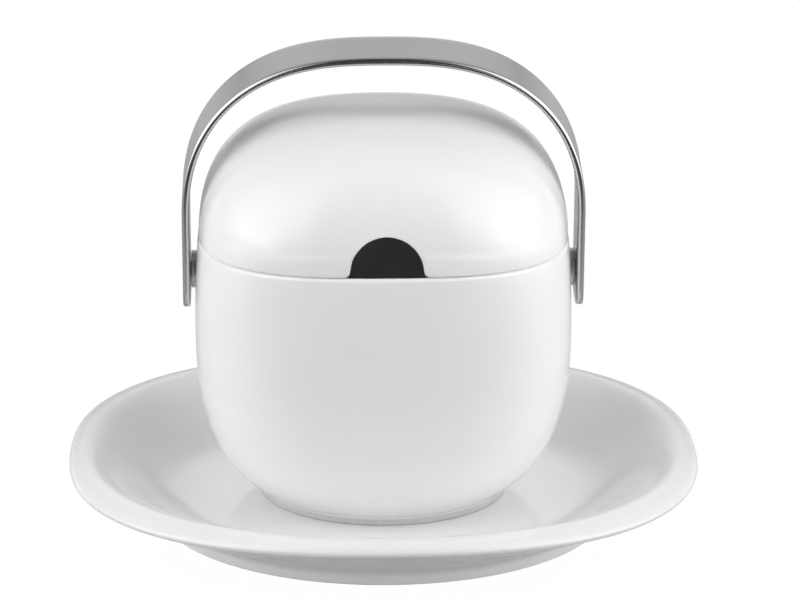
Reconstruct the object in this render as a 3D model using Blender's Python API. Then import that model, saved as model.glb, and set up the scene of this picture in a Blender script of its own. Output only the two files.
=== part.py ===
"""Covered gravy boat on a saucer, with a strap handle that swings over the lid.

Units are metres, +Z is up.  The origin is on the table, under the middle of
the saucer.  The front, where the lid has its ladle notch, faces -Y, and the
handle's pivots lie on a line along X.

Every china section is a rounded square |x|^n + |y|^n = half^n.
"""

import math

import bmesh
import bpy

MM = 0.001

# ---------------------------------------------------------------- dimensions
SEGMENTS = 48                 # points round each china section
GAP = 0.3 * MM                # space kept between touching pieces

# saucer
SAUCER_HALF = 95.0 * MM       # outer half width of the rim
SAUCER_CREST_HALF = 90.3 * MM # the rim is highest here and rolls over outside it
SAUCER_CREST_Z = 22.0 * MM
SAUCER_EDGE_Z = 19.3 * MM     # height of the outermost edge
SAUCER_EDGE_R = 1.6 * MM      # rounding under the edge
SAUCER_N = 2.45               # squareness of the rim's edge
SAUCER_CREST_N = 2.25         # of its crest
SAUCER_DISH_N = 2.0           # and of the round dish inside
SAUCER_FOOT_HALF = 68.1 * MM  # outside of the foot ring
SAUCER_FOOT_EDGE = 0.5 * MM   # chamfer round the foot ring
SAUCER_FOOT_H = 3.7 * MM      # height of the foot ring
SAUCER_FOOT_W = 4.6 * MM      # width of the foot ring
SAUCER_RECESS_Z = 3.3 * MM    # underside inside the foot ring
SAUCER_FLOOR_Z = 7.5 * MM     # floor of the dish
SAUCER_FLOOR_HALF = 58.0 * MM # flat part of the floor

# pot
POT_BASE_Z = SAUCER_FLOOR_Z + GAP
POT_FOOT_HALF = 37.2 * MM     # outside of the foot ring
POT_FOOT_W = 4.0 * MM         # width of the foot ring
POT_RECESS_Z = 10.0 * MM      # underside inside the foot ring
POT_BELLY_HALF = 56.5 * MM    # widest half width
POT_BELLY_Z = 63.1 * MM       # height of the widest section
POT_TUCK_HALF = 23.8 * MM     # half width that the lower curve runs down to
POT_TUCK_Z = 8.0 * MM
POT_TOE_HALF = 43.0 * MM      # from here inwards the curve dips to the foot ring
POT_TOE_W = 4.8 * MM
POT_TOE_DROP = 0.7 * MM
POT_RIM_HALF = 55.4 * MM
POT_RIM_Z = 88.7 * MM
POT_RIM_R = 1.2 * MM          # rounding of the lip
POT_SEAT_SLOPE = 18.0         # degrees that the lid's seat falls towards the mouth
POT_MOUTH_R = 0.9 * MM        # rounding of the mouth's inner edge
POT_WALL = 4.9 * MM
POT_FLOOR_Z = 15.0 * MM       # inside floor
POT_N_FOOT = 2.0
POT_N_RIM = 2.7

# lid
LID_BASE_Z = POT_RIM_Z + GAP
LID_HALF = 55.2 * MM
LID_RISE = 36.9 * MM          # height of the dome over the rim
LID_P = 3.41                  # squareness of the dome's profile, across
LID_Q = 2.17                  # and up
LID_N_RIM = 2.7
LID_N_TOP = 2.3
LID_WALL = 4.2 * MM
LID_EDGE_R = 0.9 * MM
FLANGE_DEPTH = 4.6 * MM       # locating flange inside the pot's mouth
FLANGE_WALL = 3.0 * MM
FLANGE_PLAY = 0.7 * MM        # play of the flange in the mouth

# ladle notch in the lid's front edge
NOTCH_R = 10.7 * MM
NOTCH_RISE = 1.3 * MM         # centre of the half round above the lid's edge

# handle
PIVOT_Z = 76.7 * MM
STRAP_HALF = 60.0 * MM        # outside half width of the legs
STRAP_T = 2.2 * MM            # thickness
STRAP_W = 19.5 * MM           # width, front to back
STRAP_LEAN = 8.6              # degrees that the handle leans to the front at rest
STRAP_LEG_H = 20.7 * MM       # top of the straight legs over the pivot
STRAP_RISE = 50.3 * MM        # rise of the arch over the legs
STRAP_P = 2.69
STRAP_Q = 2.18
STRAP_TAIL = 10.2 * MM        # strap below the pivot
STRAP_CORNER = 6.0 * MM       # rounding of the strap's end corners

# pivots
PIN_R = 2.5 * MM
PIN_HEAD_R = 3.8 * MM
PIN_HEAD_H = 1.1 * MM
PIN_END_X = 53.2 * MM         # inner end of the pin, in the pot wall
PIN_PLAY = 0.25 * MM          # radial play of the pin
SOCKET_X = 52.8 * MM          # floor of the socket in the pot wall
BUSH_R = 5.65 * MM
BUSH_X0 = 55.3 * MM           # inner face, seated in a shallow spot face
BUSH_X1 = STRAP_HALF - STRAP_T - GAP

for old in list(bpy.data.objects):
    bpy.data.objects.remove(old, do_unlink=True)


# ------------------------------------------------------------------ helpers
def material(name, colour, roughness, metallic):
    mat = bpy.data.materials.new(name)
    mat.use_nodes = True
    bsdf = mat.node_tree.nodes["Principled BSDF"]
    bsdf.inputs["Base Color"].default_value = (*colour, 1.0)
    bsdf.inputs["Roughness"].default_value = roughness
    bsdf.inputs["Metallic"].default_value = metallic
    return mat


def finish(name, bm, mat, origin=(0.0, 0.0, 0.0), smooth=35.0):
    """Close a bmesh into a named object whose origin is at the given point."""
    bmesh.ops.recalc_face_normals(bm, faces=bm.faces[:])
    for v in bm.verts:
        v.co.x -= origin[0]
        v.co.y -= origin[1]
        v.co.z -= origin[2]
    mesh = bpy.data.meshes.new(name)
    bm.to_mesh(mesh)
    bm.free()
    mesh.shade_smooth()
    mesh.set_sharp_from_angle(angle=math.radians(smooth))
    mesh.materials.append(mat)
    obj = bpy.data.objects.new(name, mesh)
    obj.location = origin
    bpy.context.scene.collection.objects.link(obj)
    return obj


def ring(bm, half, z, n):
    """One rounded-square section of the given half width at height z."""
    verts = []
    for i in range(SEGMENTS):
        a = 2.0 * math.pi * i / SEGMENTS
        c, s = math.cos(a), math.sin(a)
        r = half / (abs(c) ** n + abs(s) ** n) ** (1.0 / n)
        verts.append(bm.verts.new((r * c, r * s, z)))
    return verts


def loft(sections):
    """Skin over a chain of (half, z, n) sections; a half of 0 is a pole."""
    bm = bmesh.new()
    chain = []
    for half, z, n in sections:
        if half <= 0.0:
            chain.append([bm.verts.new((0.0, 0.0, z))])
        else:
            chain.append(ring(bm, half, z, n))
    for lower, upper in zip(chain[:-1], chain[1:]):
        for i in range(SEGMENTS):
            j = (i + 1) % SEGMENTS
            if len(lower) == 1:
                bm.faces.new((lower[0], upper[j], upper[i]))
            elif len(upper) == 1:
                bm.faces.new((lower[i], lower[j], upper[0]))
            else:
                bm.faces.new((lower[i], lower[j], upper[j], upper[i]))
    return bm


def blend(a, b, t):
    return a + (b - a) * t


def arc(cx, cz, r, a0, a1, steps):
    """Points of a profile arc, angles in degrees from +half towards +Z."""
    pts = []
    for i in range(steps + 1):
        a = math.radians(blend(a0, a1, i / steps))
        pts.append((cx + r * math.cos(a), cz + r * math.sin(a)))
    return pts


def cutter(name, bm):
    obj = finish(name, bm, bpy.data.materials["cutter"])
    obj.hide_render = True
    obj.display_type = "WIRE"
    return obj


def cut(obj, tool):
    mod = obj.modifiers.new("cut_" + tool.name, "BOOLEAN")
    mod.operation = "DIFFERENCE"
    mod.solver = "EXACT"
    mod.object = tool


def turned(profile, sign, steps=32):
    """Closed solid turned about X from (x, radius) points, mirrored by sign."""
    bm = bmesh.new()
    rows = []
    for x, r in profile:
        if r <= 0.0:
            rows.append([bm.verts.new((sign * x, 0.0, PIVOT_Z))])
            continue
        row = []
        for i in range(steps):
            a = 2.0 * math.pi * i / steps
            row.append(bm.verts.new((sign * x, r * math.cos(a), PIVOT_Z + r * math.sin(a))))
        rows.append(row)
    closed = rows[0] if len(rows[0]) > 1 and len(rows[-1]) > 1 else None
    pairs = list(zip(rows[:-1], rows[1:]))
    if closed:
        pairs.append((rows[-1], rows[0]))
    for lo, hi in pairs:
        for i in range(steps):
            j = (i + 1) % steps
            if len(lo) == 1:
                bm.faces.new((lo[0], hi[j], hi[i]))
            elif len(hi) == 1:
                bm.faces.new((lo[i], lo[j], hi[0]))
            else:
                bm.faces.new((lo[i], lo[j], hi[j], hi[i]))
    return bm


CHINA = (0.86, 0.86, 0.85)
STEEL = (0.55, 0.55, 0.55)
material("cutter", (0.5, 0.5, 0.5), 0.5, 0.0)


# ------------------------------------------------------------------- saucer
def saucer_sections():
    """From the middle of the underside, round the rim, to the middle of the dish."""
    foot_n = 2.0
    out = [(0.0, SAUCER_RECESS_Z, foot_n)]
    inner = SAUCER_FOOT_HALF - SAUCER_FOOT_W
    out.append((inner * 0.6, SAUCER_RECESS_Z, foot_n))
    out.append((inner - 1.2 * MM, SAUCER_RECESS_Z, foot_n))
    out.append((inner, SAUCER_FOOT_EDGE, foot_n))
    out.append((inner + SAUCER_FOOT_EDGE, 0.0, foot_n))
    out.append((SAUCER_FOOT_HALF - SAUCER_FOOT_EDGE, 0.0, foot_n))
    out.append((SAUCER_FOOT_HALF, SAUCER_FOOT_EDGE, foot_n))
    out.append((SAUCER_FOOT_HALF, SAUCER_FOOT_H, foot_n))
    # underside, from the foot ring out to the edge
    r = SAUCER_EDGE_R
    end = arc(SAUCER_HALF - r, SAUCER_EDGE_Z, r, -75.0, 0.0, 3)
    for i in range(1, 6):
        t = i / 6.0
        h = blend(SAUCER_FOOT_HALF, end[0][0], t)
        z = blend(SAUCER_FOOT_H, end[0][1], t ** 0.8)
        out.append((h, z, blend(foot_n, SAUCER_N, min(1.0, 1.3 * t))))
    for h, z in end:
        out.append((h, z, SAUCER_N))
    # the rim rolls over from its edge to its crest
    for i in range(1, 5):
        a = math.radians(90.0 - 22.5 * i)
        h = blend(SAUCER_CREST_HALF, SAUCER_HALF, math.sin(a))
        z = blend(SAUCER_EDGE_Z, SAUCER_CREST_Z, math.cos(a))
        out.append((h, z, blend(SAUCER_N, SAUCER_CREST_N, i / 4.0)))
    # inside wall, from the crest down to the floor
    for i in range(1, 9):
        t = 1.0 - i / 8.0
        h = blend(SAUCER_FLOOR_HALF, SAUCER_CREST_HALF, t)
        u = t ** 1.25
        z = blend(SAUCER_FLOOR_Z, SAUCER_CREST_Z, u * u * (3.0 - 2.0 * u))
        out.append((h, z, blend(SAUCER_DISH_N, SAUCER_CREST_N, t)))
    out.append((SAUCER_FLOOR_HALF * 0.55, SAUCER_FLOOR_Z, SAUCER_DISH_N))
    out.append((0.0, SAUCER_FLOOR_Z, SAUCER_DISH_N))
    return out


finish("saucer", loft(saucer_sections()), material("saucer_china", CHINA, 0.12, 0.0))


# ---------------------------------------------------------------------- pot
def pot_n(z):
    t = min(1.0, max(0.0, (z - POT_TUCK_Z) / (45.0 * MM)))
    return blend(POT_N_FOOT, POT_N_RIM, t)


def pot_lower(angle):
    """Lower curve of the belly: 0 at the widest section, 90 under the pot."""
    c, s = math.cos(math.radians(angle)), math.sin(math.radians(angle))
    half = POT_TUCK_HALF + (POT_BELLY_HALF - POT_TUCK_HALF) * max(c, 0.0) ** (2.0 / 2.41)
    z = POT_BELLY_Z - (POT_BELLY_Z - POT_TUCK_Z) * s ** (2.0 / 2.62)
    toe = min(1.0, max(0.0, (POT_TOE_HALF - half) / POT_TOE_W))
    return half, z - POT_TOE_DROP * toe * toe


def pot_upper(z):
    t = (z - POT_BELLY_Z) / (POT_RIM_Z - POT_BELLY_Z)
    return POT_BELLY_HALF - (POT_BELLY_HALF - POT_RIM_HALF) * t * t


def pot_sections():
    """From under the pot, up the outside, over the rim and down the inside."""
    n0 = POT_N_FOOT
    inner = POT_FOOT_HALF - POT_FOOT_W
    out = [(0.0, POT_RECESS_Z, n0), (inner - 0.9 * MM, POT_RECESS_Z, n0)]
    out.append((inner, POT_BASE_Z + 0.6 * MM, n0))
    out.append((inner + 0.6 * MM, POT_BASE_Z, n0))
    out.append((POT_FOOT_HALF - 0.6 * MM, POT_BASE_Z, n0))
    out.append((POT_FOOT_HALF, POT_BASE_Z + 0.6 * MM, n0))
    out.append((POT_FOOT_HALF, POT_BASE_Z + 1.8 * MM, n0))
    # where the belly curve comes down to the foot ring
    lo, hi = 0.0, 90.0
    for _ in range(40):
        mid = 0.5 * (lo + hi)
        if pot_lower(mid)[0] > POT_FOOT_HALF + 1.0 * MM:
            lo = mid
        else:
            hi = mid
    start = lo
    for i in range(11):
        h, z = pot_lower(start * (1.0 - i / 10.0) ** 1.15)
        out.append((h, z, pot_n(z)))
    top = POT_RIM_Z - POT_RIM_R
    for i in range(1, 5):
        z = blend(POT_BELLY_Z, top, i / 4.0)
        out.append((pot_upper(z), z, pot_n(z)))
    # rounded lip, then the lid's seat, which falls inwards to the mouth
    h = pot_upper(top)
    lip = arc(h - POT_RIM_R, top, POT_RIM_R, 0.0, 90.0 + POT_SEAT_SLOPE, 4)
    mouth = POT_RIM_HALF - POT_WALL
    slope = math.tan(math.radians(POT_SEAT_SLOPE))
    lean = math.tan(math.radians(45.0 - 0.5 * POT_SEAT_SLOPE))
    centre_h = mouth + POT_MOUTH_R
    corner_z = lip[-1][1] - (lip[-1][0] - mouth) * slope
    centre_z = corner_z - POT_MOUTH_R * lean
    inside = arc(centre_h, centre_z, POT_MOUTH_R, 90.0 + POT_SEAT_SLOPE, 180.0, 3)
    for ph, pz in lip[1:] + inside:
        out.append((ph, pz, POT_N_RIM))
    top = centre_z
    # inside wall and floor
    for i in range(1, 4):
        z = blend(top, POT_BELLY_Z, i / 3.0)
        out.append((blend(mouth, POT_BELLY_HALF - POT_WALL, i / 3.0), z, POT_N_RIM))
    for i in range(1, 9):
        a = math.radians(90.0 * (i / 8.0) ** 0.9)
        hin = POT_BELLY_HALF - POT_WALL
        half = 22.0 * MM + (hin - 22.0 * MM) * max(math.cos(a), 0.0) ** (2.0 / 2.4)
        z = POT_BELLY_Z - (POT_BELLY_Z - POT_FLOOR_Z) * math.sin(a) ** (2.0 / 2.06)
        out.append((half, z, pot_n(z)))
    out.append((0.0, POT_FLOOR_Z, n0))
    return out


pot = finish("pot_body", loft(pot_sections()), material("pot_china", CHINA, 0.12, 0.0))

for side, sign in (("left", -1.0), ("right", 1.0)):
    socket = [
        (SOCKET_X, 0.0),
        (SOCKET_X, PIN_R + PIN_PLAY),
        (BUSH_X0 - GAP, PIN_R + PIN_PLAY),
        (BUSH_X0 - GAP, BUSH_R + GAP),
        (STRAP_HALF, BUSH_R + GAP),
        (STRAP_HALF, 0.0),
    ]
    cut(pot, cutter(side + "_socket_tool", turned(socket, sign)))


# ---------------------------------------------------------------------- lid
def lid_n(t):
    return LID_N_RIM + (LID_N_TOP - LID_N_RIM) * t * t


def dome(angle, half, base, rise):
    """Dome profile: 0 at the edge, 90 at the top."""
    c, s = math.cos(math.radians(angle)), math.sin(math.radians(angle))
    h = half * max(c, 0.0) ** (2.0 / LID_P)
    up = s ** (2.0 / LID_Q)
    return h, base + rise * up, lid_n(up)


def lid_sections():
    """From the top inside, down the flange, out over the rim and up the dome."""
    flange_out = POT_RIM_HALF - POT_WALL - FLANGE_PLAY
    flange_in = flange_out - FLANGE_WALL
    low = LID_BASE_Z - FLANGE_DEPTH
    in_base = LID_BASE_Z + 2.0 * MM
    in_rise = LID_BASE_Z + LID_RISE - LID_WALL - in_base
    out = [(0.0, in_base + in_rise, LID_N_TOP)]
    steps = 10
    for i in range(1, steps):
        a = 90.0 - 90.0 * (i / steps) ** 1.0
        out.append(dome(a, flange_in, in_base, in_rise))
    out.append((flange_in, in_base, LID_N_RIM))
    out.append((flange_in, low + 0.8 * MM, LID_N_RIM))
    out.append((flange_in + 0.8 * MM, low, LID_N_RIM))
    out.append((flange_out - 0.8 * MM, low, LID_N_RIM))
    out.append((flange_out, low + 0.8 * MM, LID_N_RIM))
    out.append((flange_out, LID_BASE_Z, LID_N_RIM))
    r = LID_EDGE_R
    edge = dome(2.0, LID_HALF, LID_BASE_Z, LID_RISE)[0]
    for ph, pz in arc(edge - r, LID_BASE_Z + r, r, -90.0, 0.0, 3):
        out.append((ph, pz, LID_N_RIM))
    steps = 15
    for i in range(1, steps):
        a = 90.0 * (i / steps)
        h, z, n = dome(a, LID_HALF, LID_BASE_Z, LID_RISE)
        if z > LID_BASE_Z + 1.6 * r:
            out.append((h, z, n))
    out.append((0.0, LID_BASE_Z + LID_RISE, LID_N_TOP))
    return out


lid = finish("lid", loft(lid_sections()), material("lid_china", CHINA, 0.12, 0.0))


def notch_bmesh():
    """Half-round arch on straight sides, run through the lid's front wall."""
    cz = LID_BASE_Z + NOTCH_RISE
    outline = [(NOTCH_R, LID_BASE_Z - 12.0 * MM)]
    for i in range(25):
        a = math.pi * i / 24.0
        outline.append((NOTCH_R * math.cos(a), cz + NOTCH_R * math.sin(a)))
    outline.append((-NOTCH_R, LID_BASE_Z - 12.0 * MM))
    bm = bmesh.new()
    front = [bm.verts.new((x, -70.0 * MM, z)) for x, z in outline]
    back = [bm.verts.new((x, -32.0 * MM, z)) for x, z in outline]
    bm.faces.new(front)
    bm.faces.new(list(reversed(back)))
    k = len(front)
    for i in range(k):
        j = (i + 1) % k
        bm.faces.new((front[j], front[i], back[i], back[j]))
    return bm


cut(lid, cutter("notch_tool", notch_bmesh()))


# ------------------------------------------------------------------- handle
def strap_path():
    """Outside line of the strap in the plane of the arch, right end to left end."""
    pts = []
    for i in range(7):
        pts.append((STRAP_HALF, blend(-STRAP_TAIL, -STRAP_TAIL + STRAP_CORNER, 1.0 - math.cos(math.radians(15.0 * i)))))
    pts.append((STRAP_HALF, 0.0))
    pts.append((STRAP_HALF, STRAP_LEG_H * 0.5))
    steps = 40
    for i in range(steps + 1):
        a = math.pi * i / steps
        c, s = math.cos(a), math.sin(a)
        x = STRAP_HALF * math.copysign(abs(c) ** (2.0 / STRAP_P), c)
        pts.append((x, STRAP_LEG_H + STRAP_RISE * abs(s) ** (2.0 / STRAP_Q)))
    right = pts[:9]
    pts.extend((-x, h) for x, h in reversed(right))
    return pts


def strap_bmesh():
    path = strap_path()
    bm = bmesh.new()
    rows = []
    last = len(path) - 1
    for i, (x, h) in enumerate(path):
        a, b = path[max(0, i - 1)], path[min(last, i + 1)]
        dx, dh = b[0] - a[0], b[1] - a[1]
        ln = math.hypot(dx, dh)
        nx, nh = -dh / ln, dx / ln          # towards the inside of the arch
        if abs(x) > STRAP_HALF - 1e-9:
            nx, nh = -math.copysign(1.0, x), 0.0
        up = h + STRAP_TAIL
        half = 0.5 * STRAP_W
        if h < 0.0 and up < STRAP_CORNER:
            d = STRAP_CORNER - up
            half -= STRAP_CORNER - math.sqrt(max(0.0, STRAP_CORNER ** 2 - d * d))
        row = []
        for off, y in ((0.0, -half), (0.0, half), (STRAP_T, half), (STRAP_T, -half)):
            row.append(bm.verts.new((x + nx * off, y, PIVOT_Z + h + nh * off)))
        rows.append(row)
    for lo, hi in zip(rows[:-1], rows[1:]):
        for k in range(4):
            m = (k + 1) % 4
            bm.faces.new((lo[k], lo[m], hi[m], hi[k]))
    bm.faces.new(list(reversed(rows[0])))
    bm.faces.new(rows[-1])
    return bm


pivot = (0.0, 0.0, PIVOT_Z)
strap = finish("handle_strap", strap_bmesh(), material("strap_steel", STEEL, 0.32, 1.0), origin=pivot)
strap.rotation_euler.x = math.radians(STRAP_LEAN)

head_x = STRAP_HALF - PIN_HEAD_H
for side, sign in (("left", -1.0), ("right", 1.0)):
    hole = [
        (STRAP_HALF - STRAP_T - 3.0 * MM, 0.0),
        (STRAP_HALF - STRAP_T - 3.0 * MM, PIN_R + PIN_PLAY),
        (head_x - 0.2 * MM, PIN_R + PIN_PLAY),
        (head_x - 0.2 * MM, PIN_HEAD_R + PIN_PLAY),
        (STRAP_HALF + 2.0 * MM, PIN_HEAD_R + PIN_PLAY),
        (STRAP_HALF + 2.0 * MM, 0.0),
    ]
    cut(strap, cutter(side + "_hole_tool", turned(hole, sign)))


# ------------------------------------------------------- bushings and pins
for side, sign in (("left", -1.0), ("right", 1.0)):
    bush = [
        (BUSH_X0, PIN_R + PIN_PLAY),
        (BUSH_X1, PIN_R + PIN_PLAY),
        (BUSH_X1, BUSH_R - 0.3 * MM),
        (BUSH_X1 - 0.3 * MM, BUSH_R),
        (BUSH_X0, BUSH_R),
    ]
    finish(side + "_bushing", turned(bush, sign), material(side + "_bushing_steel", (0.55, 0.55, 0.55), 0.4, 1.0), origin=(sign * BUSH_X0, 0.0, PIVOT_Z))
    pin = [
        (PIN_END_X, 0.0),
        (PIN_END_X, PIN_R - 0.4 * MM),
        (PIN_END_X + 0.4 * MM, PIN_R),
        (head_x, PIN_R),
        (head_x, PIN_HEAD_R),
        (STRAP_HALF - 0.25 * MM, PIN_HEAD_R),
        (STRAP_HALF, PIN_HEAD_R - 0.25 * MM),
        (STRAP_HALF, 0.0),
    ]
    finish(side + "_pivot_pin", turned(pin, sign), material(side + "_pin_steel", STEEL, 0.3, 1.0), origin=(sign * PIN_END_X, 0.0, PIVOT_Z))
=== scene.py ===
"""Looks of the covered gravy boat: fine glazed china, brushed strap, studio light."""

import math

import bmesh
import bpy
import numpy as np
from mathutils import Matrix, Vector


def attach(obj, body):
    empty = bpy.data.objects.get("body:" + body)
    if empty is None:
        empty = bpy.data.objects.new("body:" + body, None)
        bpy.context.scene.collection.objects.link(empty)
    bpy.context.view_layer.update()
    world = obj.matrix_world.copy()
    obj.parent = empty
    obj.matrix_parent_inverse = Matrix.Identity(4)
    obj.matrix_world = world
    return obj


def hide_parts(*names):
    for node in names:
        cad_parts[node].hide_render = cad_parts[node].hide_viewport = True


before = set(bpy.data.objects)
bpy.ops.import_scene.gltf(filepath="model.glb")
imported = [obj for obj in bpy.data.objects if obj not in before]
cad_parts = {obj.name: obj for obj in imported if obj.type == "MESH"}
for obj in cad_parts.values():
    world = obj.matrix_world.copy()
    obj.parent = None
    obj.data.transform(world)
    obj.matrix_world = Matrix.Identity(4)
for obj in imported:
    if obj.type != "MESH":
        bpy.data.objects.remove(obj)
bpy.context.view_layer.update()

MM = 0.001
IMAGE_W, IMAGE_H = 800, 600

# ------------------------------------------------------- the object's sizes, mm
GAP, TOUCH = 0.3, 0.08         # moving fits, and pieces that only stand on each other
SAUCER_HALF, SAUCER_CREST_HALF = 95.0, 90.3
SAUCER_CREST_Z, SAUCER_EDGE_Z, SAUCER_EDGE_R = 22.0, 19.3, 1.6
SAUCER_N, SAUCER_CREST_N, SAUCER_DISH_N = 2.45, 2.25, 2.0
SAUCER_FOOT_HALF, SAUCER_FOOT_H, SAUCER_FOOT_W = 68.1, 3.7, 4.6
SAUCER_RECESS_Z, SAUCER_FLOOR_Z, SAUCER_FLOOR_HALF = 3.3, 7.5, 58.0

POT_BASE_Z = SAUCER_FLOOR_Z + TOUCH
POT_FOOT_HALF, POT_FOOT_W, POT_RECESS_Z = 37.2, 4.0, 10.0
POT_BELLY_HALF, POT_BELLY_Z = 56.5, 63.1
POT_TUCK_HALF, POT_TUCK_Z = 23.8, 8.0
POT_TOE_HALF, POT_TOE_W, POT_TOE_DROP = 43.0, 4.8, 0.7
POT_RIM_HALF, POT_RIM_Z, POT_RIM_R = 55.4, 88.7, 1.2
POT_WALL, POT_FLOOR_Z = 4.9, 15.0
POT_MOUTH_R, POT_SEAT_SLOPE = 0.9, 18.0
POT_N_FOOT, POT_N_RIM = 2.0, 2.7

LID_BASE_Z = POT_RIM_Z + TOUCH
LID_HALF, LID_RISE, LID_P, LID_Q = 55.2, 37.2 - TOUCH, 3.41, 2.17
LID_N_RIM, LID_N_TOP = 2.7, 2.3
LID_WALL, LID_EDGE_R = 4.2, 0.5
FLANGE_DEPTH, FLANGE_WALL, FLANGE_PLAY = 4.6, 3.0, 0.7
NOTCH_R, NOTCH_RISE = 10.7, 1.3

PIVOT_Z = 76.7
STRAP_HALF, STRAP_T, STRAP_W, STRAP_LEAN = 60.0, 2.2, 19.5, 8.6
STRAP_LEG_H, STRAP_RISE, STRAP_P, STRAP_Q = 20.7, 50.3, 2.69, 2.18
STRAP_TAIL, STRAP_CORNER, STRAP_EDGE, STRAP_END = 10.2, 6.0, 1.05, 0.6
PIN_R, PIN_HEAD_R, PIN_HEAD_H = 2.5, 3.8, 1.1
PIN_END_X, PIN_PLAY, SOCKET_X = 53.2, 0.25, 52.8
BUSH_R, BUSH_X0 = 5.65, 55.3
BUSH_X1 = STRAP_HALF - STRAP_T - GAP


# ------------------------------------------------------------------- helpers
def lerp(a, b, t):
    return a + (b - a) * t


def smooth(lo, hi, x):
    t = np.clip((x - lo) / (hi - lo), 0.0, 1.0)
    return t * t * (3.0 - 2.0 * t)


def squircle(half, n, angles):
    """Points of |x|^n + |y|^n = half^n at the given polar angles."""
    c, s = np.cos(angles), np.sin(angles)
    r = half / (np.abs(c) ** n + np.abs(s) ** n) ** (1.0 / n)
    return r * c, r * s


def arc(cx, cz, r, a0, a1, steps):
    a = np.radians(np.linspace(a0, a1, steps + 1))
    return [(cx + r * math.cos(t), cz + r * math.sin(t)) for t in a]


def fillet(points, steps=6):
    """Open profile through (h, z, radius) corners, each rounded by its radius."""
    out = []
    for i, (h, z, r) in enumerate(points):
        if r <= 0.0 or i in (0, len(points) - 1):
            out.append((h, z))
            continue
        p = np.array((h, z))
        a = np.array(points[i - 1][:2]) - p
        b = np.array(points[i + 1][:2]) - p
        la, lb = np.linalg.norm(a), np.linalg.norm(b)
        a, b = a / la, b / lb
        half = 0.5 * math.acos(max(-1.0, min(1.0, float(a @ b))))
        d = min(r / math.tan(half), 0.49 * la, 0.49 * lb)
        rr = d * math.tan(half)
        mid = (a + b) / np.linalg.norm(a + b)
        c = p + mid * rr / math.sin(half)
        s0, s1 = p + a * d - c, p + b * d - c
        a0, a1 = math.atan2(s0[1], s0[0]), math.atan2(s1[1], s1[0])
        turn = (a1 - a0 + math.pi) % (2 * math.pi) - math.pi
        for k in range(steps + 1):
            t = a0 + turn * k / steps
            out.append((c[0] + rr * math.cos(t), c[1] + rr * math.sin(t)))
    return out


def new_object(name, verts, faces, mat, sharp=None):
    """Closed mesh object from points in mm, with its faces turned outwards."""
    mesh = bpy.data.meshes.new(name)
    mesh.from_pydata([tuple(v) for v in np.asarray(verts) * MM], [], faces)
    bm = bmesh.new()
    bm.from_mesh(mesh)
    bmesh.ops.recalc_face_normals(bm, faces=bm.faces[:])
    if bm.calc_volume(signed=True) < 0.0:
        bmesh.ops.reverse_faces(bm, faces=bm.faces[:])
    bm.to_mesh(mesh)
    bm.free()
    mesh.shade_smooth()
    if sharp:
        mesh.set_sharp_from_angle(angle=math.radians(sharp))
    mesh.materials.append(mat)
    obj = bpy.data.objects.new(name, mesh)
    bpy.context.scene.collection.objects.link(obj)
    return obj


def skin(rows):
    """Points and faces of a skin over closed rows; a row of one point is a pole."""
    verts, faces, start = [], [], []
    for row in rows:
        start.append(len(verts))
        verts.extend(row)
    for a in range(len(rows) - 1):
        lo, hi, i0, i1 = rows[a], rows[a + 1], start[a], start[a + 1]
        m = max(len(lo), len(hi))
        for i in range(m):
            j = (i + 1) % m
            if len(lo) == 1:
                faces.append((i0, i1 + j, i1 + i))
            elif len(hi) == 1:
                faces.append((i0 + i, i0 + j, i1))
            else:
                faces.append((i0 + i, i0 + j, i1 + j, i1 + i))
    return verts, faces


def loft(sections, angles):
    rows = []
    for h, z, n in sections:
        if h <= 0.0:
            rows.append([(0.0, 0.0, z)])
        else:
            x, y = squircle(h, n, angles)
            rows.append(list(zip(x, y, np.full_like(x, z))))
    return skin(rows)


def boolean(obj, tool, operation="DIFFERENCE", sharp=40.0):
    """Apply a Boolean and drop the tool."""
    mod = obj.modifiers.new("cut", "BOOLEAN")
    mod.operation, mod.solver, mod.object = operation, "EXACT", tool
    dg = bpy.context.evaluated_depsgraph_get()
    mesh = bpy.data.meshes.new_from_object(obj.evaluated_get(dg))
    mesh.name = obj.name
    obj.modifiers.remove(mod)
    old = obj.data
    obj.data = mesh
    bpy.data.meshes.remove(old)
    bpy.data.objects.remove(tool, do_unlink=True)
    bm = bmesh.new()
    bm.from_mesh(mesh)
    bmesh.ops.dissolve_degenerate(bm, dist=2e-7, edges=bm.edges[:])
    bm.to_mesh(mesh)
    bm.free()
    mesh.shade_smooth()
    mesh.set_sharp_from_angle(angle=math.radians(sharp))


def turned(profile, sign, steps=96):
    """Rows turned about the pivot line from (x, radius) points."""
    a = 2.0 * math.pi * np.arange(steps) / steps
    rows = []
    for x, r in profile:
        if r <= 0.0:
            rows.append([(sign * x, 0.0, PIVOT_Z)])
        else:
            rows.append([(sign * x, r * math.cos(t), PIVOT_Z + r * math.sin(t)) for t in a])
    return rows


ROUND = 2.0 * math.pi * np.arange(240) / 240


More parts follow.
